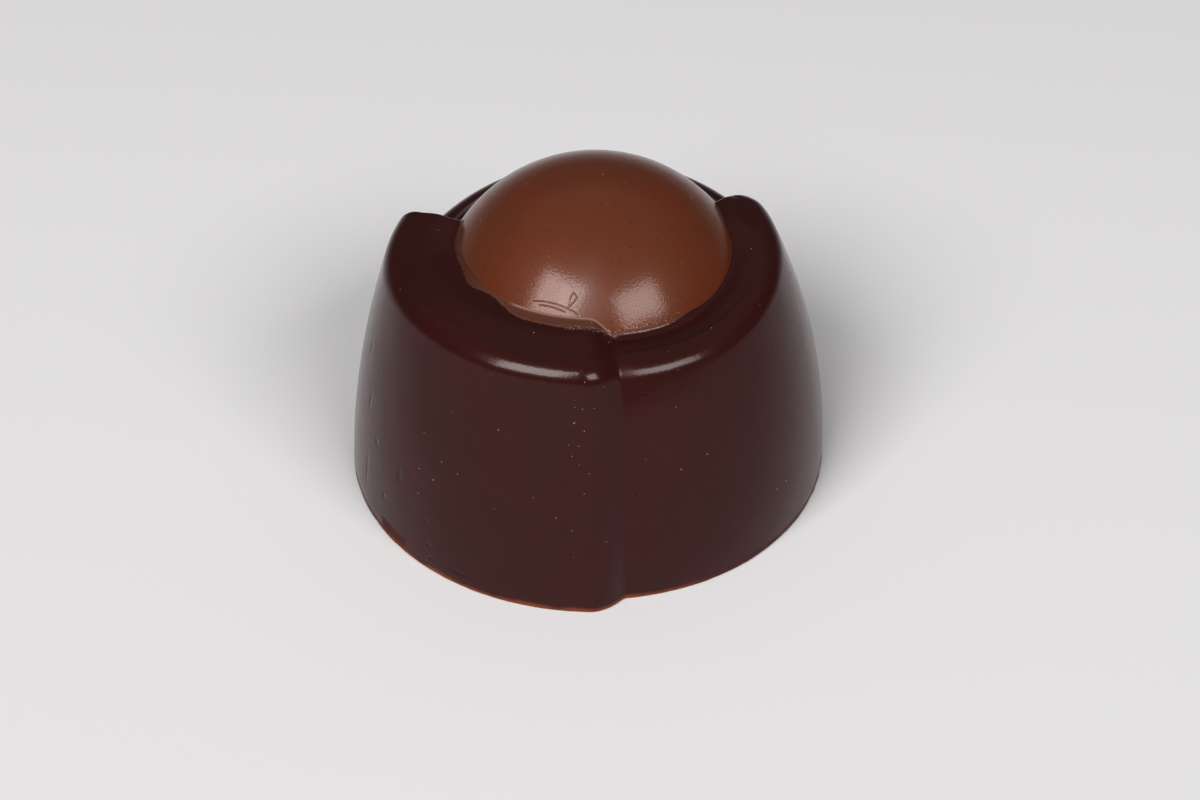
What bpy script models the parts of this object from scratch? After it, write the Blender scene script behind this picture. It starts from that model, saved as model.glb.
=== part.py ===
"""A moulded praline: three dark chocolate petals wrapped round a milk chocolate dome.

The dark body is one moulded piece.  Seen from above it is round, and its convex wall leans in
towards the top.  The wall is three petals that overlap: the front left petal lies over both of
its neighbours, the front right petal lies over the back one.  Each petal ends on top in a level
band with a rounded outer edge.  The milk chocolate dome is part of a ball that sits in the
middle of the three bands.

Metres, +Z up.  The origin is the middle of the flat base, where the praline rests.  -Y is the
front, where the seam between the two high petals shows.
"""
from math import atan, cos, pi, radians, sin, sqrt

import bpy
import bmesh
import numpy as np

# ---- driving dimensions -------------------------------------------------------------------
BASE_RADIUS = 0.0142          # of the front left petal, the widest one
GAP = 0.0003                  # left between the dome and its seat

# The ball that the dome is cut from, as shares of the base radius
BALL_RADIUS = 0.640 * BASE_RADIUS
BALL_CENTRE_Z = 0.631 * BASE_RADIUS

# The seat under the dome: a flat floor that the bowl slopes down to
SEAT_RADIUS = 0.40 * BASE_RADIUS
SEAT_Z = 0.78 * BASE_RADIUS

# The rounded end of a petal where it lies over the next one, measured along the wall
END_ROUNDING = 0.110 * BASE_RADIUS

# How finely the surface is divided
WALL_ROWS = 9
EDGE_ROWS = 6
BAND_ROWS = 2
SEAT_ROWS = 2
DOME_ROWS = 9
DOME_COLUMNS = 96
COLUMNS_BETWEEN_SEAMS = 24
ROUNDED_END_STEPS = 7

# Edges steeper than this stay crisp
SHARP_ANGLE = radians(40)

# Colour and roughness of the two chocolates
DARK_COLOUR, DARK_ROUGHNESS = (0.048, 0.0146, 0.0118), 0.22
MILK_COLOUR, MILK_ROUGHNESS = (0.153, 0.044, 0.0195), 0.25

# Which end of the upper petal an overlap is at
AT_START, AT_END = 1, -1


class Petal:
    """One third of the dark body, with its sizes as shares of the base radius.

    start and end are the angles of its two seams in degrees, counted from +X towards +Y.
    """

    def __init__(self, start, end, base, draft, bow, rim_height, climb, dip, rise, edge_radius):
        self.start = radians(start)
        self.end = radians(end)
        self.base = base                    # radius at the base
        self.draft = draft                  # how much the wall leans in, per unit of height
        self.bow = bow                      # how much it bends in, per unit of height squared
        self.rim_height = rim_height        # height of the band half way along the petal
        self.climb = climb                  # how much higher its end is than its middle
        self.dip = dip                      # how far both ends fall below the middle, if above 0
        self.rise = rise                    # how far the band rises towards the dome
        self.edge_radius = edge_radius      # rounding between the wall and the band

    def wall_radius(self, height):
        return self.base - self.draft * height - self.bow * height ** 2

    def rim(self, angle):
        """Height of the band's outer edge at this angle."""
        middle = (self.start + self.end) / 2
        along = (angle - middle) / ((self.end - self.start) / 2)
        return self.rim_height + self.climb * along - self.dip * along ** 2

    def profile(self, angle):
        """The outline at one angle as (radius, height) points, from the base to the seat."""
        rim = self.rim(angle)
        edge = self.edge_radius
        centre_height = rim - edge
        lean = atan(self.draft + 2 * self.bow * centre_height)
        # the rounding touches the wall at this height, and its centre is one radius inside
        touch_height = centre_height + edge * sin(lean)
        centre_radius = self.wall_radius(touch_height) - edge * cos(lean)

        points = []
        for row in range(WALL_ROWS):
            height = touch_height * row / WALL_ROWS
            points.append((self.wall_radius(height), height))
        for row in range(EDGE_ROWS + 1):
            turn = lean + (pi / 2 - lean) * row / EDGE_ROWS
            points.append((centre_radius + edge * cos(turn), centre_height + edge * sin(turn)))

        # the band runs in until it meets the ball
        inner_height = rim + self.rise
        above_centre = inner_height - BALL_CENTRE_Z / BASE_RADIUS
        inner_radius = sqrt((BALL_RADIUS / BASE_RADIUS) ** 2 - above_centre ** 2)
        for row in range(1, BAND_ROWS + 1):
            share = row / BAND_ROWS
            points.append((centre_radius + (inner_radius - centre_radius) * share,
                           rim + self.rise * share))

        # the bowl slopes down from the band to the floor of the seat
        seat_radius = SEAT_RADIUS / BASE_RADIUS
        seat_height = SEAT_Z / BASE_RADIUS
        for row in range(1, SEAT_ROWS + 1):
            share = row / SEAT_ROWS
            points.append((inner_radius + (seat_radius - inner_radius) * share,
                           inner_height + (seat_height - inner_height) * share))
        return [(radius * BASE_RADIUS, height * BASE_RADIUS) for radius, height in points]


# Angles of the seams, about a third of a turn apart
LEFT_SEAM, FRONT_SEAM, RIGHT_SEAM = 160.0, 277.0, 391.2
FULL_TURN = 360

FRONT_LEFT = Petal(start=LEFT_SEAM, end=FRONT_SEAM, base=1.000, draft=0.101, bow=0.127,
                   rim_height=0.980, climb=-0.012, dip=-0.016, rise=0.016, edge_radius=0.088)
FRONT_RIGHT = Petal(start=FRONT_SEAM, end=RIGHT_SEAM, base=0.937, draft=0.029, bow=0.225,
                    rim_height=0.990, climb=0.045, dip=-0.003, rise=0.000, edge_radius=0.097)
BACK = Petal(start=RIGHT_SEAM - FULL_TURN, end=LEFT_SEAM, base=0.945, draft=0.060, bow=0.199,
             rim_height=0.936, climb=-0.020, dip=0.119, rise=0.029, edge_radius=0.130)

# The petal on top and the petal below it at each seam, the front and right one at the top
# petal's end and the left one at its start
FRONT_OVERLAP = (FRONT_LEFT, FRONT_RIGHT, AT_END)
RIGHT_OVERLAP = (FRONT_RIGHT, BACK, AT_END)
LEFT_OVERLAP = (FRONT_LEFT, BACK, AT_START)
INNER_EDGE_ROW = WALL_ROWS + EDGE_ROWS + BAND_ROWS


def clear_scene():
    for scene_object in list(bpy.data.objects):
        bpy.data.objects.remove(scene_object, do_unlink=True)


def chocolate(name, colour, roughness):
    """A plain glossy chocolate for one piece."""
    material = bpy.data.materials.new(name)
    material.use_nodes = True
    shader = material.node_tree.nodes["Principled BSDF"]
    shader.inputs["Base Color"].default_value = (*colour, 1.0)
    shader.inputs["Roughness"].default_value = roughness
    shader.inputs["Metallic"].default_value = 0.0
    return material


def cover_share(distance):
    """Share of the top petal at a distance past the start of its rounded end, from 1 to 0."""
    if distance <= 0:
        return 1.0
    if distance >= END_ROUNDING:
        return 0.0
    return sqrt(1.0 - (distance / END_ROUNDING) ** 2)


def overlap_columns(top, below, side):
    """Columns of points across one rounded petal end, in order of rising angle.

    Each column is a list of (angle, radius, height).  The end keeps its width in millimetres
    from the base to the band, so its columns fan out in angle as the radius shrinks.
    """
    seam = top.end if side == AT_END else top.start
    upper = top.profile(seam)
    lower = below.profile(below.start if side == AT_END else below.end)
    columns = []
    for step in range(ROUNDED_END_STEPS + 1):
        distance = END_ROUNDING * sin(pi / 2 * step / ROUNDED_END_STEPS)
        share = cover_share(distance)
        back_from_seam = side * (END_ROUNDING - distance)
        column = []
        for (upper_radius, upper_height), (lower_radius, lower_height) in zip(upper, lower):
            radius = share * upper_radius + (1 - share) * lower_radius
            height = share * upper_height + (1 - share) * lower_height
            column.append((seam + back_from_seam / radius, radius, height))
        columns.append(column)
    if side == AT_START:
        columns.reverse()
    return columns


def petal_columns(petal, first, last):
    """Plain columns of one petal, spread evenly between the seam columns on its two sides."""
    columns = []
    for step in range(1, COLUMNS_BETWEEN_SEAMS):
        share = step / COLUMNS_BETWEEN_SEAMS
        middle = petal.start + (petal.end - petal.start) * share
        outline = petal.profile(middle)
        column = []
        for (radius, height), low, high in zip(outline, first, last):
            column.append((low[0] + (high[0] - low[0]) * share, radius, height))
        columns.append(column)
    return columns


def turned(column, turn):
    """The same column, some full turns further round."""
    return [(angle + turn, radius, height) for angle, radius, height in column]


def body_columns():
    """All columns of the dark body in order, once round from the left seam."""
    front = overlap_columns(*FRONT_OVERLAP)
    right = overlap_columns(*RIGHT_OVERLAP)
    left = overlap_columns(*LEFT_OVERLAP)
    columns = list(left)
    columns += petal_columns(FRONT_LEFT, left[-1], front[0])
    columns += front
    columns += petal_columns(FRONT_RIGHT, front[-1], right[0])
    columns += right
    columns += petal_columns(BACK, turned(right[-1], -2 * pi), left[0])
    return columns


def place(angle, radius, height):
    return (radius * cos(angle), radius * sin(angle), height)


def closed_mesh(name, rings, material):
    """One closed solid from rings of points, with both end rings filled.

    The rings run anticlockwise and start at the bottom of the outside, so all faces point outwards.
    """
    mesh = bpy.data.meshes.new(name)
    builder = bmesh.new()
    loops = [[builder.verts.new(point) for point in ring] for ring in rings]
    count = len(rings[0])
    for lower, upper in zip(loops, loops[1:]):
        for side in range(count):
            following = (side + 1) % count
            builder.faces.new((lower[side], lower[following], upper[following], upper[side]))
    builder.faces.new(list(reversed(loops[0])))
    builder.faces.new(loops[-1])
    builder.to_mesh(mesh)
    builder.free()
    mesh.shade_smooth()
    mesh.set_sharp_from_angle(angle=SHARP_ANGLE)
    mesh.materials.append(material)
    piece = bpy.data.objects.new(name, mesh)
    bpy.context.scene.collection.objects.link(piece)
    return piece


def make_dark_body(columns):
    rows = len(columns[0])
    rings = [[place(*column[row]) for column in columns] for row in range(rows)]
    material = chocolate("dark_chocolate", DARK_COLOUR, DARK_ROUGHNESS)
    return closed_mesh("dark_body", rings, material)


def even_dome_edge(columns):
    """The dome's lower edge on the ball, just inside the bands, as evenly spread columns."""
    seat_angles = [column[INNER_EDGE_ROW][0] for column in columns]
    seat_radii = [column[INNER_EDGE_ROW][1] for column in columns]
    angles = [2 * pi * step / DOME_COLUMNS for step in range(DOME_COLUMNS)]
    radii = np.interp(angles, seat_angles, seat_radii, period=2 * pi) - GAP / 2
    heights = BALL_CENTRE_Z + np.sqrt(BALL_RADIUS ** 2 - radii ** 2)
    return [(angle, float(radius), float(height))
            for angle, radius, height in zip(angles, radii, heights)]


def make_milk_dome(columns):
    """The part of the ball above the bands, closed below by a copy of the seat's bowl."""
    edge = even_dome_edge(columns)
    floor = [place(angle, SEAT_RADIUS - GAP / 2, SEAT_Z + GAP) for angle, _, _ in edge]
    rings = [floor, [place(*point) for point in edge]]
    for row in range(1, DOME_ROWS):
        ring = []
        for angle, radius, height in edge:
            edge_turn = atan((height - BALL_CENTRE_Z) / radius)
            turn = edge_turn + (pi / 2 - edge_turn) * row / DOME_ROWS
            ring.append(place(angle, BALL_RADIUS * cos(turn), BALL_CENTRE_Z + BALL_RADIUS * sin(turn)))
        rings.append(ring)
    material = chocolate("milk_chocolate", MILK_COLOUR, MILK_ROUGHNESS)
    return closed_mesh("milk_dome", rings, material)


def main():
    clear_scene()
    columns = body_columns()
    make_dark_body(columns)
    make_milk_dome(columns)


main()
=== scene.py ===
# %% [markdown]
# # A moulded praline
#
# This lesson dresses a small moulded praline: a dark chocolate body whose wall is three
# overlapping petals, and a milk chocolate dome in the middle.  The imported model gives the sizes
# and the place of both pieces.  Here each of them gets the fine surface and the finish that
# the model's plain solids leave out.
#
# The order is: one ruler, two helpers, the petals' sizes, the finishes, the two pieces, the crumbs
# on them, and last the floor, the light and the camera.

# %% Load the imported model
from math import cos, pi, radians, sin

import bmesh
import bpy
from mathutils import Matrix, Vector


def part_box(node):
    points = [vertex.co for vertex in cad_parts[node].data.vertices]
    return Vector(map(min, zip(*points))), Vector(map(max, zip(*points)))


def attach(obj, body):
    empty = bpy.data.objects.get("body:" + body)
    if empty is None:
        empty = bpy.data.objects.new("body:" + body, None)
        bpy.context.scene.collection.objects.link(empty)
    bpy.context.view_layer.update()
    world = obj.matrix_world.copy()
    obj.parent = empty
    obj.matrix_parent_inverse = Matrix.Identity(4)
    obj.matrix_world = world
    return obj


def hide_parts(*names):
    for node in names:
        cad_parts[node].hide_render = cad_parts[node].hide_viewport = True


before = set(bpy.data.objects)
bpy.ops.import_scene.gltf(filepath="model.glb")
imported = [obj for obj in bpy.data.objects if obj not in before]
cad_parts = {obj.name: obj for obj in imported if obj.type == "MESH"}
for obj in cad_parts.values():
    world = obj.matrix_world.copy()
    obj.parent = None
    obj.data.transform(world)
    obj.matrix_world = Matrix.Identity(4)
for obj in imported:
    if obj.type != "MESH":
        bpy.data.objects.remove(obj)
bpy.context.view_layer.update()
print("packed nodes:", sorted(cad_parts))

# %% [markdown]
# ## One ruler for everything
#
# Every size of the praline is a share of its base radius.  The widest petal lies to the left,
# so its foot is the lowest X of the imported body.  Reading it from the frame keeps this script in
# step with the model when the model changes.

# %% The base radius
body_low, body_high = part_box("dark_body")
BASE_RADIUS = -body_low[0]
MM = 0.001
print("base radius in mm:", round(BASE_RADIUS / MM, 2))

# %% [markdown]
# ## Arithmetic with sockets
#
# Both the shapes and the finishes below are formulas.  In a node tree each plus or times is a
# Math node, and wiring hundreds of them by hand hides the formula.  A small class wraps an
# output socket and gives it Python's operators, so that a formula is written as on paper and
# the nodes appear by themselves.  One more method, `add`, makes every other kind of node.

# %% The two helpers
class Value:
    """An output socket that takes part in arithmetic."""

    def __init__(self, sheet, node, output=0):
        self.sheet = sheet
        self.node = node
        self.socket = node.outputs[output] if len(node.outputs) else None

    def __getitem__(self, output):
        return Value(self.sheet, self.node, output)

    def math(self, operation, *others):
        return self.sheet.maths(operation, self, *others)

    def __add__(self, other):
        return self.sheet.maths("ADD", self, other)

    def __radd__(self, other):
        return self.sheet.maths("ADD", other, self)

    def __sub__(self, other):
        return self.sheet.maths("SUBTRACT", self, other)

    def __rsub__(self, other):
        return self.sheet.maths("SUBTRACT", other, self)

    def __mul__(self, other):
        return self.sheet.maths("MULTIPLY", self, other)

    def __rmul__(self, other):
        return self.sheet.maths("MULTIPLY", other, self)

    def __truediv__(self, other):
        return self.sheet.maths("DIVIDE", self, other)

    def __rtruediv__(self, other):
        return self.sheet.maths("DIVIDE", other, self)

    def __pow__(self, other):
        return self.sheet.maths("POWER", self, other)

    def __neg__(self):
        return self.sheet.maths("MULTIPLY", self, -1.0)

    def clamped(self):
        """Kept between 0 and 1."""
        return self.math("MAXIMUM", 0.0).math("MINIMUM", 1.0)

    def ramp(self, low, high):
        """0 below low, 1 above high, and a soft slope between them."""
        share = ((self - low) / (high - low)).clamped()
        return share * share * (3.0 - 2.0 * share)


class Sheet:
    """A node tree that nodes are added to by name."""

    def __init__(self, tree):
        self.tree = tree

    def add(self, kind, settings=None, inputs=None, output=0):
        """A new node: its settings first, then the values or links of its sockets."""
        node = self.tree.nodes.new(kind)
        for name, setting in (settings or {}).items():
            setattr(node, name, setting)
        for key, item in (inputs or {}).items():
            self.feed(self.find(node, key), item)
        return Value(self, node, output)

    def find(self, node, key):
        if isinstance(key, int):
            return node.inputs[key]
        return next(socket for socket in node.inputs if socket.enabled and socket.name == key)

    def feed(self, socket, item):
        if isinstance(item, Value):
            self.tree.links.new(item.socket, socket)
        else:
            socket.default_value = item

    def maths(self, operation, *operands):
        return self.add("ShaderNodeMath", {"operation": operation}, dict(enumerate(operands)))


print("helpers ready")

# %% [markdown]
# ## Growing a piece from a node tree
#
# The praline's shape follows a rule, so Geometry Nodes make it: a flat grid of points is rolled
# up, and a formula says where each point goes.  `grow` builds the tree, gives its sizes as named
# inputs, runs it once and keeps the result as a plain mesh with no modifier left on it.

# %% Run a tree and keep its mesh
def grow(name, build, sizes, material, source=None):
    """A mesh object made by a node tree that build() fills in."""
    tree = bpy.data.node_groups.new(name, "GeometryNodeTree")
    tree.interface.new_socket("Geometry", in_out="INPUT", socket_type="NodeSocketGeometry")
    identifiers = {}
    for label in sizes:
        item = tree.interface.new_socket(label, in_out="INPUT", socket_type="NodeSocketFloat")
        identifiers[label] = item.identifier
    tree.interface.new_socket("Geometry", in_out="OUTPUT", socket_type="NodeSocketGeometry")

    sheet = Sheet(tree)
    entry = sheet.add("NodeGroupInput")
    shape = build(sheet, entry)
    real = sheet.add("GeometryNodeRealizeInstances", {}, {"Geometry": shape})
    finished = sheet.add("GeometryNodeSetMaterial", {}, {"Geometry": real, "Material": material})
    sheet.add("NodeGroupOutput", {}, {"Geometry": finished})

    start = source.data if source else bpy.data.meshes.new(name + "_start")
    grower = bpy.data.objects.new(name + "_grower", start)
    bpy.context.scene.collection.objects.link(grower)
    modifier = grower.modifiers.new("grow", "NODES")
    modifier.node_group = tree
    for label, size in sizes.items():
        modifier[identifiers[label]] = float(size)
    evaluated = grower.evaluated_get(bpy.context.evaluated_depsgraph_get())
    mesh = bpy.data.meshes.new_from_object(evaluated)
    bpy.data.objects.remove(grower, do_unlink=True)
    mesh.name = name
    piece = bpy.data.objects.new(name, mesh)
    bpy.context.scene.collection.objects.link(piece)
    print(name, "has", len(mesh.polygons), "faces")
    return piece


def rolled_grid(sheet, columns, rows):
    """A grid of points with two counts: the share of the way round, and the row number."""
    grid = sheet.add("GeometryNodeMeshGrid", {}, {"Size X": 1.0, "Size Y": 1.0,
                                                  "Vertices X": columns + 1, "Vertices Y": rows + 1})
    place = sheet.add("ShaderNodeSeparateXYZ", {}, {"Vector": sheet.add("GeometryNodeInputPosition")})
    return grid, place["X"] + 0.5, (place["Y"] + 0.5) * float(rows)


def move_to(sheet, grid, angle, radius, height):
    """Rolls the grid up: every point goes to its angle, radius and height, and the ends join."""
    spot = sheet.add("ShaderNodeCombineXYZ", {}, {"X": radius * angle.math("COSINE"),
                                                  "Y": radius * angle.math("SINE"), "Z": height})
    moved = sheet.add("GeometryNodeSetPosition", {}, {"Geometry": grid, "Position": spot})
    return sheet.add("GeometryNodeMergeByDistance", {}, {"Geometry": moved, "Distance": 1e-7})


def note(sheet, shape, name, number):
    """Writes a number on every point, for the finish to read."""
    return sheet.add("GeometryNodeStoreNamedAttribute", {"data_type": "FLOAT", "domain": "POINT"},
                     {"Geometry": shape, "Name": name, "Value": number})


def stroke(row, first, count):
    """Share of one stretch of rows that a row has covered, from 0 before it to 1 after it."""
    return ((row - float(first)) / float(count)).clamped()

# %% [markdown]
# ## The petals' sizes
#
# On the real praline the mould gives the body its shape.  Three petals wrap round the dome,
# each a third of the way round.  The front left one lies over both of its neighbours, and the
# front right one lies over the back one.  A petal's wall leans in more and more towards the
# top, turns over a rounded edge into a level band, and the band runs in to the dome.

# %% Sizes, as shares of the base radius and angles in degrees
# base and draft are the wall's radius at the bottom and how much it leans in.  dip is how far the
# band falls towards both ends.  Six widths say over what distance each end curves down to the petal
# below.  spill is an extra tongue of milk film on the band.
PETALS = {
    "front left": {"start": 160.0, "end": 277.0, "base": 1.000, "draft": 0.101, "dip": 0.000,
                   "start on wall": 0.102, "start on edge": 0.095, "start on band": 0.115,
                   "end on wall": 0.150, "end on edge": 0.165, "end on band": 0.095,
                   "spill": 0.022, "spill place": -0.07, "spill spread": 0.12},
    "front right": {"start": 277.0, "end": 391.2, "base": 0.937, "draft": 0.029, "dip": 0.000,
                    "start on wall": 0.150, "start on edge": 0.165, "start on band": 0.095,
                    "end on wall": 0.102, "end on edge": 0.094, "end on band": 0.118,
                    "spill": 0.000, "spill place": 0.00, "spill spread": 1.00},
    "back": {"start": 31.2, "end": 160.0, "base": 0.945, "draft": 0.060, "dip": 0.119,
             "spill": 0.000, "spill place": 0.00, "spill spread": 1.00},
}

# What changes along a petal: the size near its start, the size near its end, and the stretch over
# which one becomes the other, with -1 at the petal's start and 1 at its end.  bow bends the wall
# in, rim is the band's height at its outer edge, rise is how far it climbs towards the dome, edge is
# the rounding between wall and band, crown its swell in the middle, lip the hollow rounding against
# the dome, and film how far the milk film reaches out from the dome.
CHANGES = {
    "front left": {"bow": (0.151, 0.127, -1.00, -0.30), "rim": (1.012, 0.980, -1.00, -0.40),
                   "rise": (0.015, 0.016, -1.00, -0.40), "edge": (0.094, 0.088, -0.95, -0.60),
                   "crown": (0.008, 0.006, -1.00, -0.40), "lip": (0.050, 0.011, -0.42, 0.33),
                   "film": (0.008, 0.062, 0.10, 0.45)},
    "front right": {"bow": (0.213, 0.244, -0.50, 0.95), "rim": (0.948, 1.039, -0.81, 0.90),
                    "rise": (-0.012, 0.014, 0.29, 0.51), "edge": (0.092, 0.225, 0.75, 0.95),
                    "crown": (0.004, 0.004, -1.00, 1.00), "lip": (0.042, 0.014, -0.60, -0.20),
                    "film": (0.000, -0.012, -0.70, -0.30)},
    "back": {"bow": (0.199, 0.199, -1.00, 1.00), "rim": (0.956, 0.915, -1.00, 1.00),
             "rise": (0.027, 0.031, -1.00, 1.00), "edge": (0.144, 0.144, -1.00, 1.00),
             "crown": (0.006, 0.006, -1.00, 1.00), "lip": (0.003, 0.003, -1.00, 1.00),
             "film": (0.004, 0.012, -1.00, 1.00)},
}
PARTS = ("bow", "rim", "rise", "edge", "crown", "lip", "film")
ANGLES = ("start", "end")
SHARED_SIZES = {
    "ball radius": 0.640,       # the dome is part of a ball
    "ball height": 0.631,       # height of the ball's middle
    "seat height": 0.780,       # flat bottom of the pocket under the dome
    "foot": 0.009,              # rounding at the very bottom of the wall
    "flange": 0.030,            # height over which the foot flares out
    "flare": 0.004,             # how far the foot stands out
    "tuck": radians(24),        # how far the front right petal runs on under the front left one
}
body_sizes = dict(SHARED_SIZES)
for petal_name, petal in PETALS.items():
    for label, size in petal.items():
        body_sizes[f"{petal_name} {label}"] = radians(size) if label in ANGLES else size
    for part in PARTS:
        for label, size in zip(("start", "end", "from", "to"), CHANGES[petal_name][part]):
            body_sizes[f"{petal_name} {part} {label}"] = size
print("the body's tree takes", len(body_sizes), "sizes")

# %% [markdown]
# ## Finish: shared parts
#
# A plain colour looks like plastic.  Real chocolate is slightly uneven: the colour clouds a
# little, the gloss is higher where the mould was polished, and fine ripples bend the
# reflections.  Each finish starts from the piece's own Object coordinates, so the pattern sits
# still on the piece.  They are turned into base radii, so a scale of 10 means a tenth of the
# radius.

# %% Begin a material
def direction(azimuth, elevation):
    """A unit vector, from degrees round the praline and degrees up."""
    return Vector((cos(radians(elevation)) * cos(radians(azimuth)),
                   cos(radians(elevation)) * sin(radians(azimuth)), sin(radians(elevation))))


def new_finish(name):
    """An empty material with its output's shader and the point in base radii."""
    material = bpy.data.materials.new(name)
    material.use_nodes = True
    sheet = Sheet(material.node_tree)
    shader = material.node_tree.nodes["Principled BSDF"]
    place = sheet.add("ShaderNodeTexCoord")["Object"]
    point = sheet.add("ShaderNodeVectorMath", {"operation": "SCALE"},
                      {"Vector": place, "Scale": 1.0 / BASE_RADIUS})
    return material, sheet, shader, point


def noise(sheet, point, scale, detail=2.0, roughness=0.5):
    """Clouds between 0 and 1, around a half."""
    return sheet.add("ShaderNodeTexNoise", {}, {"Vector": point, "Scale": float(scale),
                                                "Detail": float(detail), "Roughness": roughness})


def blend(sheet, share, first, second):
    """A colour between two colours."""
    return sheet.add("ShaderNodeMix", {"data_type": "RGBA"},
                     {"Factor": share, "A": first, "B": second}, output=2)


def bump(sheet, height, distance, strength=1.0, normal=None):
    """A relief for the light only, on top of another one."""
    inputs = {"Height": height, "Distance": distance, "Strength": strength}
    if normal is not None:
        inputs["Normal"] = normal
    return sheet.add("ShaderNodeBump", {}, inputs)


print("a finish starts from the point in base radii, so 1 is", round(BASE_RADIUS / MM, 1), "mm")

# %% [markdown]
# ## Colours
#
# Chocolate looks right when its own colour is dark and only slightly red, and when the reflections
# on it stay grey.  A brighter or redder brown turns it into clay.  All colours here are linear red,
# green and blue.

# %% The colours
DARK_BROWN = (0.048, 0.0146, 0.0118)
DARK_RED = (0.053, 0.0134, 0.0128)
MILK = (0.153, 0.0440, 0.0195)
MILK_BROWN = (0.140, 0.0455, 0.0215)
FILM = (0.138, 0.060, 0.0420)           # milk chocolate over dark, where it is thick
THIN_FILM = (0.097, 0.041, 0.0285)      # and where it is thin
FOOT_GLOW = (0.250, 0.080, 0.0320)           # painted glow: the thin rim that light shines through
PATCH = (0.078, 0.029, 0.0190)          # a rubbed spot on the foot
SHEEN_HAZE = (0.196, 0.107, 0.0895)          # painted sheen: a pale haze between the dome's two highlights
PALE = (0.62, 0.43, 0.35)               # scuffed edges and crumbs, and the painted highlights on the dome and along the crease


def shade(colour, factor=1.0):
    """A colour socket's four numbers, darker or brighter by a factor."""
    return tuple(factor * channel for channel in colour) + (1.0,)


print("ten colours, from", DARK_BROWN, "to", PALE)

# %% [markdown]
# ## Marks
#
# Dents, scratches, spills and dull spots are what makes a praline look handled and real.  Each mark
# is a formula of the angle round the praline and the height: a hump is 1 at its middle and fades
# away from there, and a band is 1 between two bounds.  So every mark has a place and a size that
# can be changed.

# %% Formulas for marks
def dots(sheet, point, scale, smallest, largest):
    """Small round dots, one in every cell: 1 inside a dot and 0 outside."""
    cells = sheet.add("ShaderNodeTexVoronoi", {}, {"Vector": point, "Scale": float(scale)})
    chance = sheet.add("ShaderNodeSeparateColor", {}, {"Color": cells["Color"]})
    reach = smallest + (largest - smallest) * chance["Green"]
    return 1.0 - (cells["Distance"] / reach).ramp(0.6, 1.0)


def way_round(sheet, point):
    """The angle round the praline in degrees, from 0 to 360, and the height."""
    place = sheet.add("ShaderNodeSeparateXYZ", {}, {"Vector": point})
    angle = place["Y"].math("ARCTAN2", place["X"]) * (180 / pi)
    return angle.math("WRAP", 360.0, 0.0), place["Z"]


def between(value, low, high, soft):
    """1 between two bounds, fading to 0 outside them."""
    return value.ramp(low - soft, low + soft) * (1.0 - value.ramp(high - soft, high + soft))


def hump(*offs):
    """1 where every distance is 0, and less and less away from there."""
    total = offs[0] * offs[0]
    for off in offs[1:]:
        total = total + off * off
    return (-total).math("EXPONENT")


print("marks ready")

# %% [markdown]
# ## Gloss
#
# A polished mould gives chocolate two kinds of gloss at once.  Its skin mirrors a lamp clearly, and
# the fat crystals just below scatter the light into a broad sheen round that mirror image.  The
# base layer is the skin and a rougher coat is the sheen.  Where the skin is rubbed, the mirror image
# blurs and the sheen goes.

# %% Both kinds of gloss
REFRACTION = 1.46           # of cocoa butter
MIRROR_LEVEL = 0.34         # how strongly the skin mirrors
UNEVEN_SKIN = 0.05          # how much the skin's roughness changes from place to place
UNEVEN_SHEEN = 0.16         # and the sheen
RUBBED_SKIN = 0.5           # roughness that rubbing adds


def polish(sheet, shader, point, normal, roughness, sheen, spread, rubbed=0.0):
    """Sets how a finish shines: the skin's roughness, and the sheen's strength and spread."""
    skin = roughness + UNEVEN_SKIN * noise(sheet, point, 6.0, 3.0) + RUBBED_SKIN * rubbed
    glow = (sheen + UNEVEN_SHEEN * noise(sheet, point, 5.0, 3.0)) * (1.0 - rubbed)
    sheet.feed(shader.inputs["Roughness"], skin)
    sheet.feed(shader.inputs["Coat Weight"], glow)
    sheet.feed(shader.inputs["Normal"], normal)
    shader.inputs["IOR"].default_value = REFRACTION
    shader.inputs["Specular IOR Level"].default_value = MIRROR_LEVEL
    shader.inputs["Coat IOR"].default_value = REFRACTION
    shader.inputs["Coat Roughness"].default_value = spread


print("skin roughness changes by", UNEVEN_SKIN, "and sheen by", UNEVEN_SHEEN)

# %% [markdown]
# ## The dark chocolate's wall
#
# The dark body is brown with slightly redder clouds.  Its wall has small dents where air sat
# between the mould and the chocolate, and painted shade darkens their insides.  A thin rim at the
# foot is painted paler and redder as a glow of light shining through it, most of all in front,
# towards the lamps, with one rubbed patch at the left.

# %% Dents, foot and scuff
# Dents in the wall: angle in degrees, height, half the width and half the height, in base radii
DENTS = ((196.7, 0.665, 0.010, 0.034), (202.7, 0.488, 0.010, 0.034), (204.5, 0.180, 0.010, 0.060),
         (209.0, 0.370, 0.012, 0.014), (219.8, 0.333, 0.014, 0.028), (214.2, 0.175, 0.010, 0.011),
         (229.3, 0.222, 0.012, 0.010), (230.5, 0.120, 0.011, 0.010), (231.0, 0.065, 0.011, 0.008),
         (239.5, 0.060, 0.045, 0.009), (270.2, 0.055, 0.009, 0.010))
DENT_SHADE = 0.45           # how much painted shade darkens a dent
PATCH_FROM, PATCH_TO = 213.5, 223.5
PATCH_TOP = (0.060, 0.072)  # between these heights the patch fades out
# painted glow: the foot's thin rim is paler where light shines through it, most of all in front
RIM_FROM, RIM_TO = 215.0, 292.0
RIM_TOP = (0.006, 0.026)    # and between these the pale rim does
GLOW_ALL_ROUND, GLOW_IN_FRONT = 0.20, 0.55
SCUFF = (278.4, 0.92)       # angle and height of a rubbed spot on the edge, beside the front seam


def dent_depth(angle, height):
    """1 in the middle of every dent and 0 away from them."""
    depth = 0.0
    for place, level, half_width, half_height in DENTS:
        across = (angle - place) * (radians(1) / half_width)
        depth = depth + hump(across, (height - level) / half_height)
    return depth


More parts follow.
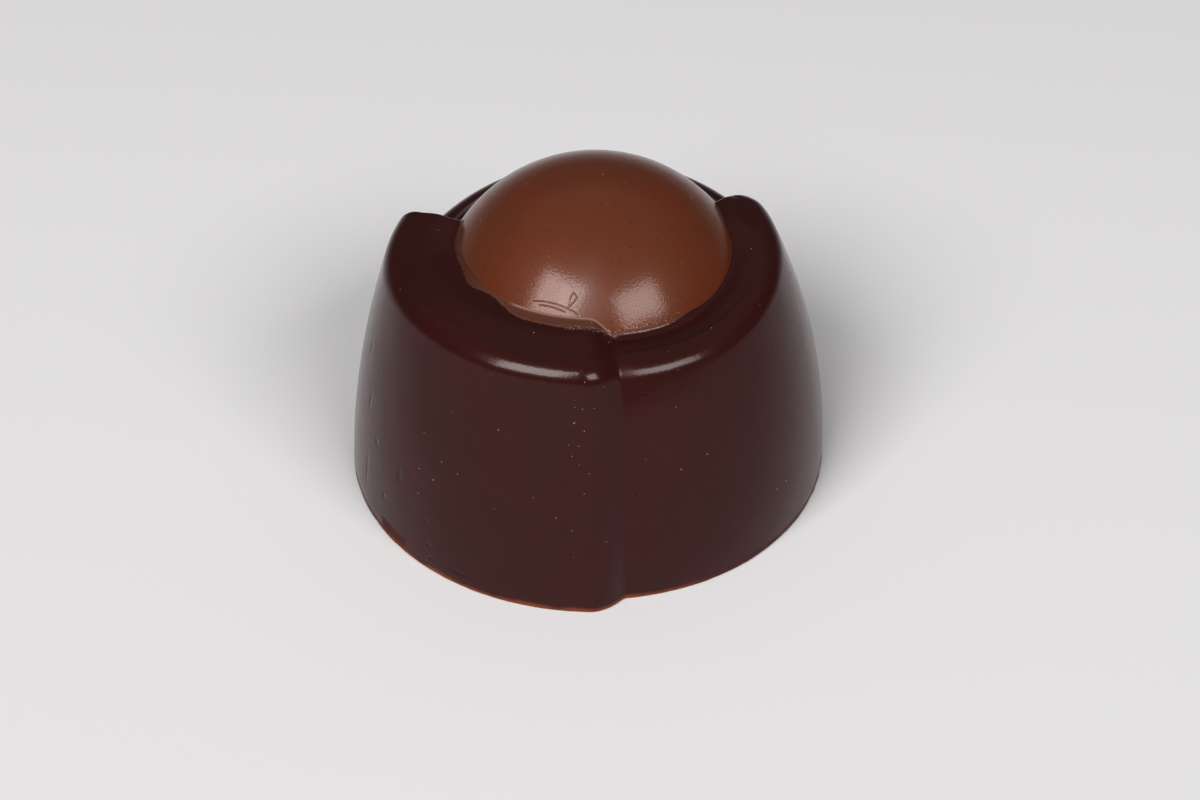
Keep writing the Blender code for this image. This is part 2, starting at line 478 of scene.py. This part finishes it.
def foot_patch(angle, ragged_height):
    """The rubbed patch at the left of the foot."""
    return between(angle, PATCH_FROM, PATCH_TO, 1.0) * (1.0 - ragged_height.ramp(*PATCH_TOP))


def foot_rim_glow(angle, ragged_height):
    """Painted glow: the thin lower rim, lit through and paler in front, towards the lamps, than
    behind.
    """
    in_front = between(angle, RIM_FROM, RIM_TO, 6.0)
    return (1.0 - ragged_height.ramp(*RIM_TOP)) * (GLOW_ALL_ROUND + GLOW_IN_FRONT * in_front)


def edge_scuff(angle, height):
    """The rubbed spot on the front right petal's edge, where it comes out from under the left one."""
    place, level = SCUFF
    return hump((angle - place) / 2.4, (height - level) / 0.035)


print("dents in the wall:", len(DENTS))

# %% [markdown]
# ## The milk film
#
# When the mould was filled, a film of milk chocolate ran out over the inner edge of the bands.  It
# is thin at the left, thick near the front seam, and its border is ragged there.  The body's tree
# writes two numbers on every point for this: how far it is off the dome, and how far it is past the
# border of the film.  The finish reads both, so the film follows the shape exactly.

# %% The film over the inner edge
LEFT_PART = (60.0, 277.0)       # where the border is most uneven, in degrees
FRINGE_PART = (257.0, 277.0)    # where it breaks up into a fringe
FILM_THICKENS = (205.0, 236.0)
GLINT_PART = (236.0, 276.0)      # where a highlight is painted as a pale line between the film and the dome
THICK_FILM = (-0.100, -0.066)   # this far inside the border the film hides the dark chocolate


def border_noise(sheet, point, angle, fringe):
    """How far the film's border wanders from its smooth line."""
    on_left = between(angle, *LEFT_PART, 1.0)
    uneven = (noise(sheet, point, 70.0, 2.0) - 0.5) * 0.014 * (0.25 + 0.75 * on_left)
    return uneven + (noise(sheet, point, 90.0, 3.0, 0.7) - 0.5) * 0.06 * fringe


def milk_film(sheet, colour, point, angle):
    """Colour with film and a painted crease highlight; how far each point is past the ragged border.
    """
    past_border = sheet.add("ShaderNodeAttribute", {"attribute_name": "milk_edge"})["Fac"]
    off_dome = sheet.add("ShaderNodeAttribute", {"attribute_name": "off_dome"})["Fac"]
    fringe = between(past_border, -0.016, 0.010, 0.006) * between(angle, *FRINGE_PART, 3.0)
    ragged = past_border + border_noise(sheet, point, angle, fringe)
    thick = 1.0 - past_border.ramp(*THICK_FILM)
    film = blend(sheet, angle.ramp(*FILM_THICKENS), shade(THIN_FILM), shade(FILM))
    film = blend(sheet, thick, film, shade(MILK))
    colour = blend(sheet, 1.0 - ragged.ramp(-0.003, 0.003), colour, film)

    sparkle = fringe * noise(sheet, point, 150.0, 2.0).ramp(0.56, 0.62)
    colour = blend(sheet, sparkle * 0.5, colour, shade(PALE))
    # painted highlight: a pale line where the lamps glint on the crease
    line = hump((off_dome - 0.004) / 0.006) * between(angle, *GLINT_PART, 3.0)
    return blend(sheet, line * 0.35, colour, shade(PALE)), ragged


print("the film thickens between", FILM_THICKENS, "degrees")

# %% [markdown]
# ## The dark finish
#
# Here the parts come together.  The relief is built from the largest to the finest: slow ripples
# that bend the reflections, a fine grain, the dents, and the small step at the border of the film.

# %% Dark chocolate
def dark_chocolate():
    """Everything that shows on the body, from its clouds to its gloss."""
    material, sheet, shader, point = new_finish("dark_chocolate")
    angle, height = way_round(sheet, point)
    clouds = noise(sheet, point, 3.4, 3.0).ramp(0.38, 0.62)
    dents = dent_depth(angle, height)
    ragged_height = height + 0.03 * (noise(sheet, point, 9.0, 3.0) - 0.5)
    patch = foot_patch(angle, ragged_height)

    colour = blend(sheet, clouds, shade(DARK_BROWN), shade(DARK_RED))
    # painted shade: the insides of the dents are darkened
    colour = blend(sheet, dents.clamped() * DENT_SHADE, colour, shade(DARK_BROWN, 0.25))
    colour = blend(sheet, patch, colour, shade(PATCH))
    # painted glow of light shining through the thin foot rim
    colour = blend(sheet, foot_rim_glow(angle, ragged_height), colour, shade(FOOT_GLOW))
    colour, past_border = milk_film(sheet, colour, point, angle)
    sheet.feed(shader.inputs["Base Color"], colour)

    relief = bump(sheet, noise(sheet, point, 9.0, 1.0), 0.02 * MM, 0.6)
    relief = bump(sheet, noise(sheet, point, 110.0, 2.0), 0.006 * MM, 1.0, relief)
    relief = bump(sheet, -dents, 0.03 * MM, 1.0, relief)
    relief = bump(sheet, 1.0 - past_border.ramp(-0.012, 0.002), 0.05 * MM, 1.0, relief)
    rubbed = patch + 0.35 * edge_scuff(angle, height)
    polish(sheet, shader, point, relief, roughness=0.13, sheen=0.13, spread=0.38, rubbed=rubbed)
    return material


dark_finish = dark_chocolate()
print(dark_finish.name, "has", len(dark_finish.node_tree.nodes), "nodes")

# %% [markdown]
# ## Scratches on the dome
#
# Something touched the dome and left two long curved scratches and a small four-sided one.  A curved
# scratch is part of a circle drawn on the ball: all its points are equally far, in degrees, from a
# middle that lies on the ball too.  The short straight ones run from one point to another.

# %% Where the scratches are
BALL_HEIGHT = SHARED_SIZES["ball height"]
BALL_RADIUS = SHARED_SIZES["ball radius"]
# Curved ones, all in degrees: the middle's angle and height on the ball, the distance from it, and
# the angles round the praline between which the scratch runs
ARCS = ((251.0, 14.0, 24.3, 244.0, 263.5), (250.8, 15.6, 21.4, 247.0, 258.0))
# Straight ones: two ends each, as the angle round the praline and the height on the ball
NICKS = ((259.4, 37.6, 259.4, 40.4), (259.4, 40.4, 260.6, 42.7), (260.6, 42.7, 262.5, 41.2),
         (262.5, 41.2, 260.0, 38.2))
SCRATCH_WIDTH = 0.20        # in degrees on the ball
SQUASH = cos(radians(40))   # a degree round the praline against a degree up the ball, at 40 degrees up


def arc_scratches(sheet, point, angle):
    """1 on the curved scratches."""
    outward = sheet.add("ShaderNodeVectorMath", {"operation": "SUBTRACT"},
                        {0: point, 1: (0.0, 0.0, BALL_HEIGHT)})
    total = 0.0
    for place, level, reach, start, end in ARCS:
        middle = tuple(direction(place, level) / BALL_RADIUS)
        turn = sheet.add("ShaderNodeVectorMath", {"operation": "DOT_PRODUCT"}, {0: outward, 1: middle},
                         output=1)
        off_line = turn.math("ARCCOSINE") * (180 / pi) - reach
        total = total + hump(off_line / SCRATCH_WIDTH) * between(angle, start, end, 1.0)
    return total


def straight_scratches(angle, lift):
    """1 on the short straight scratches."""
    total = 0.0
    for first, first_lift, last, last_lift in NICKS:
        run = Vector(((last - first) * SQUASH, last_lift - first_lift))
        across, up = (angle - first) * SQUASH, lift - first_lift
        along = (across * run.x + up * run.y) / run.length_squared
        off_line = (across * run.y - up * run.x) / run.length
        total = total + hump(off_line / SCRATCH_WIDTH) * between(along, 0.0, 1.0, 0.1)
    return total


print("scratches:", len(ARCS), "curved and", len(NICKS), "straight")

# %% [markdown]
# ## The milk finish
#
# The dome is a warm brown with tiny dark freckles of cocoa.  Three soft marks lie over it: a pale
# spot painted inside the left highlight to brighten it, a pale haze painted between the highlights
# as a broad sheen, and a mottled strip where the front right petal was pressed against the dome.

# %% Milk chocolate
# the first spot is a painted highlight, the second a painted sheen
GLINT_SPOT = (256.9, 41.1)     # angle and height on the ball, in degrees
SHEEN_HAZE_SPOT = (267.0, 40.0)
STRIP_PART = (279.0, 303.0)     # where the mottled strip is, in degrees
STRIP_ABOVE = (0.005, 0.028)    # how far above the petal, in base radii


def soft_spots(sheet, colour, angle, lift):
    """The dome's colour with a painted highlight spot and a haze of painted sheen."""
    # painted highlight: a pale spot inside the left highlight
    place, level = GLINT_SPOT
    smooth = hump(((angle - place) * SQUASH / 2.0).math("ABSOLUTE") ** 1.5, (lift - level) / 3.6)
    colour = blend(sheet, smooth.ramp(0.25, 0.45) * 0.06, colour, shade(PALE))
    # painted sheen: a pale haze between the two highlights
    place, level = SHEEN_HAZE_SPOT
    painted_sheen = hump((angle - place) / 7.5, (lift - level) / 10.0)
    return blend(sheet, painted_sheen * 0.65, colour, shade(SHEEN_HAZE))


def mottled_strip(sheet, colour, point, angle):
    """The dome's colour with dark and pale mottling beside the front right petal."""
    above = sheet.add("ShaderNodeAttribute", {"attribute_name": "above_petals"})["Fac"]
    strip = between(above, *STRIP_ABOVE, 0.005) * between(angle, *STRIP_PART, 5.0)
    mottle = noise(sheet, point, 150.0, 2.0)
    colour = blend(sheet, strip * (1.0 - mottle.ramp(0.40, 0.50)) * 0.6, colour, shade(MILK, 0.5))
    return blend(sheet, strip * mottle.ramp(0.58, 0.64) * 0.6, colour, shade(PALE))


def milk_chocolate():
    """Everything that shows on the dome."""
    material, sheet, shader, point = new_finish("milk_chocolate")
    angle, height = way_round(sheet, point)
    lift = ((height - BALL_HEIGHT) / BALL_RADIUS).math("ARCSINE") * (180 / pi)

    clouds = noise(sheet, point, 3.0, 3.0).ramp(0.35, 0.65)
    colour = blend(sheet, clouds, shade(MILK), shade(MILK_BROWN))
    colour = blend(sheet, dots(sheet, point, 34.0, 0.10, 0.22) * 0.4, colour, shade(MILK, 0.35))
    colour = soft_spots(sheet, colour, angle, lift)
    colour = mottled_strip(sheet, colour, point, angle)
    sheet.feed(shader.inputs["Base Color"], colour)

    relief = bump(sheet, noise(sheet, point, 7.0, 1.0), 0.008 * MM, 0.6)
    relief = bump(sheet, noise(sheet, point, 110.0, 2.0), 0.006 * MM, 1.0, relief)
    scratches = arc_scratches(sheet, point, angle) + straight_scratches(angle, lift)
    relief = bump(sheet, -scratches, 0.02 * MM, 1.0, relief)
    polish(sheet, shader, point, relief, roughness=0.145, sheen=0.42, spread=0.46)
    return material


milk_finish = milk_chocolate()
print(milk_finish.name, "has", len(milk_finish.node_tree.nodes), "nodes")

# %% [markdown]
# ## The dark body
#
# One column of points runs from the middle of the base out to the foot, up the wall, over the
# edge, along the band, up the hollow crease, and back down into the pocket under the dome.  Each
# stretch of that path is a stroke: its share grows from 0 to 1 as the rows pass, and the
# point's radius and height are the sum of what all the strokes have added so far.

# %% The outline of one petal
COLUMNS = 720
STROKES = {"base": 4, "foot": 4, "flange": 8, "wall": 44, "edge": 18, "band": 20, "crease": 8,
           "pocket": 5, "floor": 2}
ROWS = sum(STROKES.values())
USUAL_BAND = 0.22           # width of a band, for the slope at which the edge runs into it


def strokes(row):
    """The share covered of each named stretch of rows."""
    shares = {}
    first = 0
    for label, count in STROKES.items():
        shares[label] = stroke(row, first, count)
        first += count
    return shares


def along_petal(size, angle):
    """-1 at a petal's start, 0 in its middle and 1 at its end."""
    middle = (size["start"] + size["end"]) / 2.0
    half = (size["end"] - size["start"]) / 2.0
    return (angle - middle).math("WRAP", pi, -pi) / half


def petal_levels(size, angle):
    """What changes along a petal, at one angle."""
    along = along_petal(size, angle)
    level = {}
    for part in PARTS:
        change = along.ramp(size[part + " from"], size[part + " to"])
        level[part] = size[part + " start"] + (size[part + " end"] - size[part + " start"]) * change
    level["rim"] = level["rim"] - size["dip"] * along * along
    off_spill = (along - size["spill place"]) / size["spill spread"]
    level["film"] = level["film"] + size["spill"] * (-(off_spill * off_spill)).math("EXPONENT")
    return level


def petal_outline(size, angle, share):
    """Radius and height at one angle, and how far the point is off the dome and past the milk film."""
    bow, rim, rise, edge, crown, lip, film = petal_levels(size, angle).values()

    # the wall, up to where the rounded edge touches it
    tilt = (rise / USUAL_BAND).math("ARCTANGENT")
    wall_foot = size["foot"] + size["flange"]
    centre_height = rim - edge * tilt.math("COSINE")
    lean = (size["draft"] + 2.0 * bow * centre_height).math("ARCTANGENT")
    wall_height = centre_height + edge * lean.math("SINE") - wall_foot
    wall_inset = size["draft"] * wall_height + bow * wall_height * wall_height
    edge_radius = size["base"] - wall_inset + edge * (tilt.math("SINE") - lean.math("COSINE"))

    # where the band meets the ball, and how steep the ball is there
    crease_height = rim + rise
    slope = ((crease_height - size["ball height"]) / size["ball radius"]).math("ARCCOSINE")
    crease_reach = lip * (slope / 2.0).math("TANGENT")
    crease_radius = size["ball radius"] * slope.math("SINE") + crease_reach

    # the strokes, from the base to the pocket
    foot_turn = share["foot"] * (pi / 2)
    spread = 1.0 - share["flange"]
    radius = (size["base"] - size["foot"]) * share["base"] + size["foot"] * foot_turn.math("SINE")
    radius = radius + size["flare"] * share["base"] * spread * spread * spread
    height = size["foot"] * (1.0 - foot_turn.math("COSINE")) + size["flange"] * share["flange"]
    climbed = wall_height * share["wall"]
    radius = radius - size["draft"] * climbed - bow * climbed * climbed
    height = height + climbed
    edge_turn = lean + (pi / 2 - tilt - lean) * share["edge"]
    radius = radius + edge * (edge_turn.math("COSINE") - lean.math("COSINE"))
    height = height + edge * (edge_turn.math("SINE") - lean.math("SINE"))
    radius = radius + (crease_radius - edge_radius) * share["band"]
    swing = (share["band"] * pi).math("SINE")
    height = height + rise * share["band"] + crown * swing * swing
    crease_turn = slope * share["crease"]
    radius = radius - lip * crease_turn.math("SINE")
    height = height + lip * (1.0 - crease_turn.math("COSINE"))

    # the pocket follows the ball down to the seat, and its floor closes the body
    tip_height = crease_height + lip * (1.0 - slope.math("COSINE"))
    tip_turn = ((tip_height - size["ball height"]) / size["ball radius"]).math("ARCSINE")
    seat_turn = ((size["seat height"] - size["ball height"]) / size["ball radius"]).math("ARCSINE")
    ball_turn = tip_turn + (seat_turn - tip_turn) * share["pocket"]
    radius = radius + size["ball radius"] * (ball_turn.math("COSINE") - tip_turn.math("COSINE"))
    height = height + size["ball radius"] * (ball_turn.math("SINE") - tip_turn.math("SINE"))
    radius = radius * (1.0 - share["floor"])
    off_dome = radius - (crease_radius - crease_reach)
    return radius, height, off_dome, off_dome - film


print("the outline has", ROWS, "rows and the body", COLUMNS, "columns")

# %% [markdown]
# The petals overlap like the petals of a rose.  Where one lies over another, its end curves down
# to the lower one over a fixed width, as wide at the foot as on the band.  So the surface is the
# back petal, with the front right one laid over it, and the front left one over both.

# %% Laying the petals over each other
SEAM_SQUEEZE = 0.8          # how much closer the columns stand at the seams than elsewhere
SHOULDER = 2.2              # how early a petal's end begins to fall
CORNER = 0.50               # how soft the corner below a petal's end is


def cover(size, angle, radius, share, start, end):
    """Share of a petal at an angle: 1 on the petal, curving down to 0 at either of its ends."""
    off_middle = (angle - (start + end) / 2.0).math("WRAP", pi, -pi)
    inside = ((end - start) / 2.0 - off_middle.math("ABSOLUTE")) * radius
    near_end = off_middle.math("GREATER_THAN", 0.0)
    wall, edge, band = (
        size["start on " + part] + (size["end on " + part] - size["start on " + part]) * near_end
        for part in ("wall", "edge", "band"))
    width = wall + (edge - wall) * share["edge"] + (band - edge) * share["band"]
    drop = 1.0 - (1.0 - (inside / width).clamped()) ** SHOULDER
    softened = (drop * drop + CORNER ** 2).math("SQRT") - CORNER
    return softened / ((1.0 + CORNER ** 2) ** 0.5 - CORNER)


def over(share, upper, lower):
    """One outline laid over another: the upper one where share is 1."""
    return [share * above + (1.0 - share) * below for above, below in zip(upper, lower)]


def petal_size(entry, petal_name):
    """The shared sizes and one petal's own, under their short names."""
    size = {label: entry[label] for label in SHARED_SIZES}
    for label in PETALS[petal_name]:
        size[label] = entry[f"{petal_name} {label}"]
    for part in PARTS:
        for label in ("start", "end", "from", "to"):
            size[f"{part} {label}"] = entry[f"{petal_name} {part} {label}"]
    return size


print("columns stand", 1 + SEAM_SQUEEZE, "times as far apart between the seams as on average")

# %% [markdown]
# Nothing poured is quite even.  The wall swells a little and the very bottom is ragged, so two
# layers of noise are added to the radius: slow on the wall, quick at the foot.

# %% Growing the body
WALL_WOBBLE, WALL_SWELLS = 0.006, 2.6       # how far in base radii, and how many swells in one
FOOT_WOBBLE, FOOT_RAGS = 0.006, 16.0


def build_body(sheet, entry):
    """The whole dark body: three outlines laid over each other and rolled up."""
    grid, around, row = rolled_grid(sheet, COLUMNS, ROWS)
    left, right, back = (petal_size(entry, petal_name) for petal_name in PETALS)

    # the columns crowd together at the three seams
    even = around * (2 * pi) + (left["end"] - pi)
    angle = even - (3.0 * (even - left["end"])).math("SINE") * (SEAM_SQUEEZE / 3)

    share = strokes(row)
    left_outline = petal_outline(left, angle, share)
    right_outline = petal_outline(right, angle, share)
    back_outline = petal_outline(back, angle, share)
    under_left = right["start"] - right["tuck"]
    right_cover = cover(right, angle, right_outline[0], share, under_left, right["end"])
    left_cover = cover(left, angle, left_outline[0], share, left["start"], left["end"])
    outline = over(left_cover, left_outline, over(right_cover, right_outline, back_outline))
    radius, height, off_dome, milk_edge = outline

    spot = sheet.add("ShaderNodeCombineXYZ", {}, {"X": angle.math("COSINE"), "Y": angle.math("SINE"),
                                                  "Z": height})
    on_wall = share["flange"] * (1.0 - share["edge"])
    on_foot = (1.0 - share["flange"]) * share["foot"]
    radius = radius + (noise(sheet, spot, WALL_SWELLS, 1.0) - 0.5) * WALL_WOBBLE * on_wall
    radius = radius + (noise(sheet, spot, FOOT_RAGS, 2.0) - 0.5) * FOOT_WOBBLE * on_foot

    marked = note(sheet, note(sheet, grid, "off_dome", off_dome), "milk_edge", milk_edge)
    return move_to(sheet, marked, angle, radius * BASE_RADIUS, height * BASE_RADIUS)


dark_body = grow("praline_body", build_body, body_sizes, dark_finish)

# %% [markdown]
# ## The dome
#
# The dome is part of a ball.  Its points run from the top down the ball to the seat, and across
# the flat bottom to the middle.  It is a hair larger than the pocket, so that no gap shows where
# it comes out between the petals.

# %% The ball's cap
DOME_COLUMNS = 256
DOME_STROKES = {"ball": 90, "bottom": 4}
OVERLAP = 0.0006            # of the base radius


def build_dome(sheet, entry):
    """The ball's cap with a flat bottom, and its height above the front right petal."""
    grid, around, row = rolled_grid(sheet, DOME_COLUMNS, sum(DOME_STROKES.values()))
    ball = entry["ball radius"] + OVERLAP
    seat_turn = ((entry["seat height"] - entry["ball height"]) / ball).math("ARCSINE")
    turn = pi / 2 + (seat_turn - pi / 2) * stroke(row, 0, DOME_STROKES["ball"])
    crossed = stroke(row, DOME_STROKES["ball"], DOME_STROKES["bottom"])
    radius = ball * turn.math("COSINE") * (1.0 - crossed)
    height = entry["ball height"] + ball * turn.math("SINE")
    angle = around * (2 * pi)
    level = petal_levels(petal_size(entry, "front right"), angle)
    marked = note(sheet, grid, "above_petals", height - level["rim"] - level["rise"])
    return move_to(sheet, marked, angle, radius * BASE_RADIUS, height * BASE_RADIUS)


milk_dome = grow("praline_dome", build_dome, body_sizes, milk_finish)

# %% [markdown]
# ## Specks
#
# Handling leaves fine crumbs of milk chocolate on the praline, most of them by the front seam.
# They are scattered over the skin of both pieces with a fixed seed.  A crumb is less than a tenth
# of a millimetre across, so twenty faces are enough for each.

# %% Crumbs on the skin
def speck_finish():
    """Pale crumbs, some darker than others."""
    material, sheet, shader, point = new_finish("crumbs")
    lighter = noise(sheet, point, 30.0).ramp(0.4, 0.6)
    colour = blend(sheet, lighter, shade(PALE, 0.35), shade(PALE, 0.8))
    sheet.feed(shader.inputs["Base Color"], colour)
    shader.inputs["Roughness"].default_value = 0.3
    return material


speck_sizes = {
    "ball height": BALL_HEIGHT,
    "clear of ball": 0.66,              # distance from the ball's middle, to stay out of the pocket
    "lowest on dome": 1.03,             # height above which the dome shows all the way round
    "everywhere": 0.09 / MM ** 2,       # crumbs to a square metre, from crumbs to a square mm
    "by the seam": 3.0 / MM ** 2,
    "smallest": 0.015 * MM,             # radius of a crumb
    "largest": 0.042 * MM,
}
CROWD = (266.5, 0.80)                   # angle and height of the place with most crumbs
CROWD_REACH = (3.0, 0.20)
SPOT_SEED, SIZE_SEED = 7, 11


def build_specks(sheet, entry):
    """Crumbs on every face that shows, and more of them on the wall by the front seam."""
    place = sheet.add("GeometryNodeInputPosition")
    point = sheet.add("ShaderNodeVectorMath", {"operation": "SCALE"},
                      {"Vector": place, "Scale": 1.0 / BASE_RADIUS})
    angle, height = way_round(sheet, point)
    spot = sheet.add("ShaderNodeSeparateXYZ", {}, {"Vector": point})
    lift = height - entry["ball height"]
    off_ball = (spot["X"] * spot["X"] + spot["Y"] * spot["Y"] + lift * lift).math("SQRT")
    on_body = off_ball.math("GREATER_THAN", entry["clear of ball"])
    on_dome = height.math("GREATER_THAN", entry["lowest on dome"])
    showing = on_body.math("MAXIMUM", on_dome) * height.math("GREATER_THAN", 0.03)
    crowd = hump((angle - CROWD[0]) / CROWD_REACH[0], (height - CROWD[1]) / CROWD_REACH[1])
    density = showing * (entry["everywhere"] + entry["by the seam"] * crowd)
    points = sheet.add("GeometryNodeDistributePointsOnFaces", {},
                       {"Mesh": entry["Geometry"], "Density": density, "Seed": SPOT_SEED})
    crumb = sheet.add("GeometryNodeMeshIcoSphere", {}, {"Radius": 1.0, "Subdivisions": 1})
    size = sheet.add("FunctionNodeRandomValue", {"data_type": "FLOAT"},
                     {"Min": entry["smallest"], "Max": entry["largest"], "Seed": SIZE_SEED},
                     output=1)
    return sheet.add("GeometryNodeInstanceOnPoints", {},
                     {"Points": points, "Instance": crumb, "Scale": size})


def skin_of(*pieces):
    """One mesh object that holds copies of several pieces."""
    builder = bmesh.new()
    for piece in pieces:
        builder.from_mesh(piece.data)
    mesh = bpy.data.meshes.new("skin")
    builder.to_mesh(mesh)
    builder.free()
    return bpy.data.objects.new("skin", mesh)


skin = skin_of(dark_body, milk_dome)
specks = grow("praline_specks", build_specks, speck_sizes, speck_finish(), source=skin)
bpy.data.objects.remove(skin, do_unlink=True)

# %% [markdown]
# ## Handing the pieces over
#
# Each mesh is turned so that its faces point outwards and shaded smooth, because melted chocolate
# has no facets.  Only the lip round the pocket stays crisp.  Then the two large pieces take the
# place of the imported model's nodes, and everything rides on the one body, `root`.

# %% Smooth, ride and replace
SHARP = radians(50)


def finish_mesh(piece):
    """Faces point outwards and are shaded smooth, apart from the lip round the pocket."""
    builder = bmesh.new()
    builder.from_mesh(piece.data)
    bmesh.ops.recalc_face_normals(builder, faces=builder.faces)
    print(piece.name, "open edges:", sum(1 for edge in builder.edges if not edge.is_manifold),
          "volume in cubic cm:", round(builder.calc_volume() * 1e6, 2))
    builder.to_mesh(piece.data)
    builder.free()
    piece.data.shade_smooth()
    piece.data.set_sharp_from_angle(angle=SHARP)


STAND_INS = ((dark_body, "dark_body", "dark_chocolate"), (milk_dome, "milk_dome", "milk_chocolate"))
for piece, node, slot in STAND_INS:
    finish_mesh(piece)
    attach(piece, "root")
    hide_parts(node)
finish_mesh(specks)
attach(specks, "root")

# %% [markdown]
# ## The floor
#
# A plain pale floor, matt like paper, lets the dark chocolate stand out and throws soft light back
# up at its sides.  It is much larger than the praline, so that its edge stays far away.

# %% A pale floor
FLOOR_REACH = 3.0           # in metres, from the middle
FLOOR_COLOUR = (0.72, 0.708, 0.712, 1.0)


def plain_floor():
    """One matt square under the praline."""
    mesh = bpy.data.meshes.new("floor")
    corners = [(-FLOOR_REACH, -FLOOR_REACH, 0), (FLOOR_REACH, -FLOOR_REACH, 0),
               (FLOOR_REACH, FLOOR_REACH, 0), (-FLOOR_REACH, FLOOR_REACH, 0)]
    mesh.from_pydata(corners, [], [(0, 1, 2, 3)])
    floor = bpy.data.objects.new("floor", mesh)
    bpy.context.scene.collection.objects.link(floor)
    material = bpy.data.materials.new("pale_floor")
    material.use_nodes = True
    shader = material.node_tree.nodes["Principled BSDF"]
    shader.inputs["Base Color"].default_value = FLOOR_COLOUR
    shader.inputs["Roughness"].default_value = 0.8
    shader.inputs["Specular IOR Level"].default_value = 0.1
    mesh.materials.append(material)
    return floor


plain_floor()
print("floor reaches", FLOOR_REACH, "m")

# %% [markdown]
# ## The lamps
#
# Two softboxes stand in front, one to the left and one to the right.  Their mirror images are the two
# bright spots on the dome and the two bright lines on the petals' edges, so their size and place
# set those.  The left one is larger and brighter.

# %% Two softboxes
LAMP_DISTANCE = 1.2         # in metres
LAMP_AIM = Vector((0, 0, 0.95 * BASE_RADIUS))
# Name, degrees round and degrees up, width and height in metres, and watts
SOFTBOXES = (("softbox_left", 235, 41, 0.68, 0.66, 10.0), ("softbox_right", 308, 37, 0.67, 0.47, 6.0))


def softbox(name, azimuth, elevation, width, height, watts):
    """A lamp with a rectangular face that looks at the dome."""
    light = bpy.data.lights.new(name, "AREA")
    light.shape = "RECTANGLE"
    light.size = width
    light.size_y = height
    light.energy = watts
    lamp = bpy.data.objects.new(name, light)
    lamp.location = LAMP_AIM + LAMP_DISTANCE * direction(azimuth, elevation)
    lamp.rotation_euler = (LAMP_AIM - lamp.location).to_track_quat("-Z", "Y").to_euler()
    bpy.context.scene.collection.objects.link(lamp)


for box in SOFTBOXES:
    softbox(*box)
print("lamps:", [box[0] for box in SOFTBOXES])

# %% [markdown]
# ## The room
#
# Glossy chocolate mirrors whatever stands round it, so the room matters as much as the lamps.  It
# is pale at the horizon, dark above that, and dim at the ceiling, and lighter behind than in front.
# The dark part is what keeps the bands dark, and the ceiling is what greys the top of the dome.  A
# camera that looks past the floor's edge sees an even grey backdrop instead.

# %% Walls and ceiling
ROOM = ((0.00, 0.16), (0.08, 0.14), (0.20, 0.05), (0.60, 0.06), (0.78, 0.17), (1.00, 0.17))
BEHIND = 0.9                # how much brighter it is behind the praline than beside it
COOL = 1.03                 # a hint of blue
BACKDROP = (0.40, 0.39, 0.395, 1.0)

world = bpy.data.worlds.new("studio")
bpy.context.scene.world = world
world.use_nodes = True
room = Sheet(world.node_tree)
way = room.add("ShaderNodeSeparateXYZ", {}, {"Vector": room.add("ShaderNodeTexCoord")["Generated"]})
ramp = room.add("ShaderNodeValToRGB", {}, {"Fac": way["Z"]})
for spot, (rise, grey) in enumerate(ROOM):
    stops = ramp.node.color_ramp.elements
    stop = stops[spot] if spot < 2 else stops.new(rise)
    stop.position = rise
    stop.color = (grey, grey, COOL * grey, 1.0)
lit = room.add("ShaderNodeVectorMath", {"operation": "SCALE"},
               {"Vector": ramp, "Scale": 1.0 + BEHIND * way["Y"]})
straight = room.add("ShaderNodeLightPath")["Is Camera Ray"]
room.feed(world.node_tree.nodes["Background"].inputs["Color"], blend(room, straight, lit, BACKDROP))
print("the room has", len(ROOM), "heights")

# %% [markdown]
# ## The camera
#
# The camera looks down on the front seam from about 40 degrees, close enough to see the top of the
# bands and the whole wall.  A high contrast look keeps the chocolate deep and the floor pale.

# %% Camera
LENS = 46.52                # in mm
CAMERA_DISTANCE = 6.502     # in base radii
CAMERA_FRONT, CAMERA_UP = 270, 40.51
CAMERA_AIM = (0.0180, 0.0, 0.1965)

camera_data = bpy.data.cameras.new("camera")
camera_data.sensor_width = 36.0
camera_data.lens = LENS
camera_data.clip_start = 0.001
camera = bpy.data.objects.new("camera", camera_data)
camera.location = CAMERA_DISTANCE * BASE_RADIUS * direction(CAMERA_FRONT, CAMERA_UP)
aim = Vector(CAMERA_AIM) * BASE_RADIUS
camera.rotation_euler = (aim - camera.location).to_track_quat("-Z", "Y").to_euler()
bpy.context.scene.collection.objects.link(camera)
bpy.context.scene.camera = camera
bpy.context.scene.view_settings.view_transform = "Standard"
bpy.context.scene.view_settings.look = "High Contrast"
print("camera is", round(camera.location.length / MM), "mm from the praline's foot")
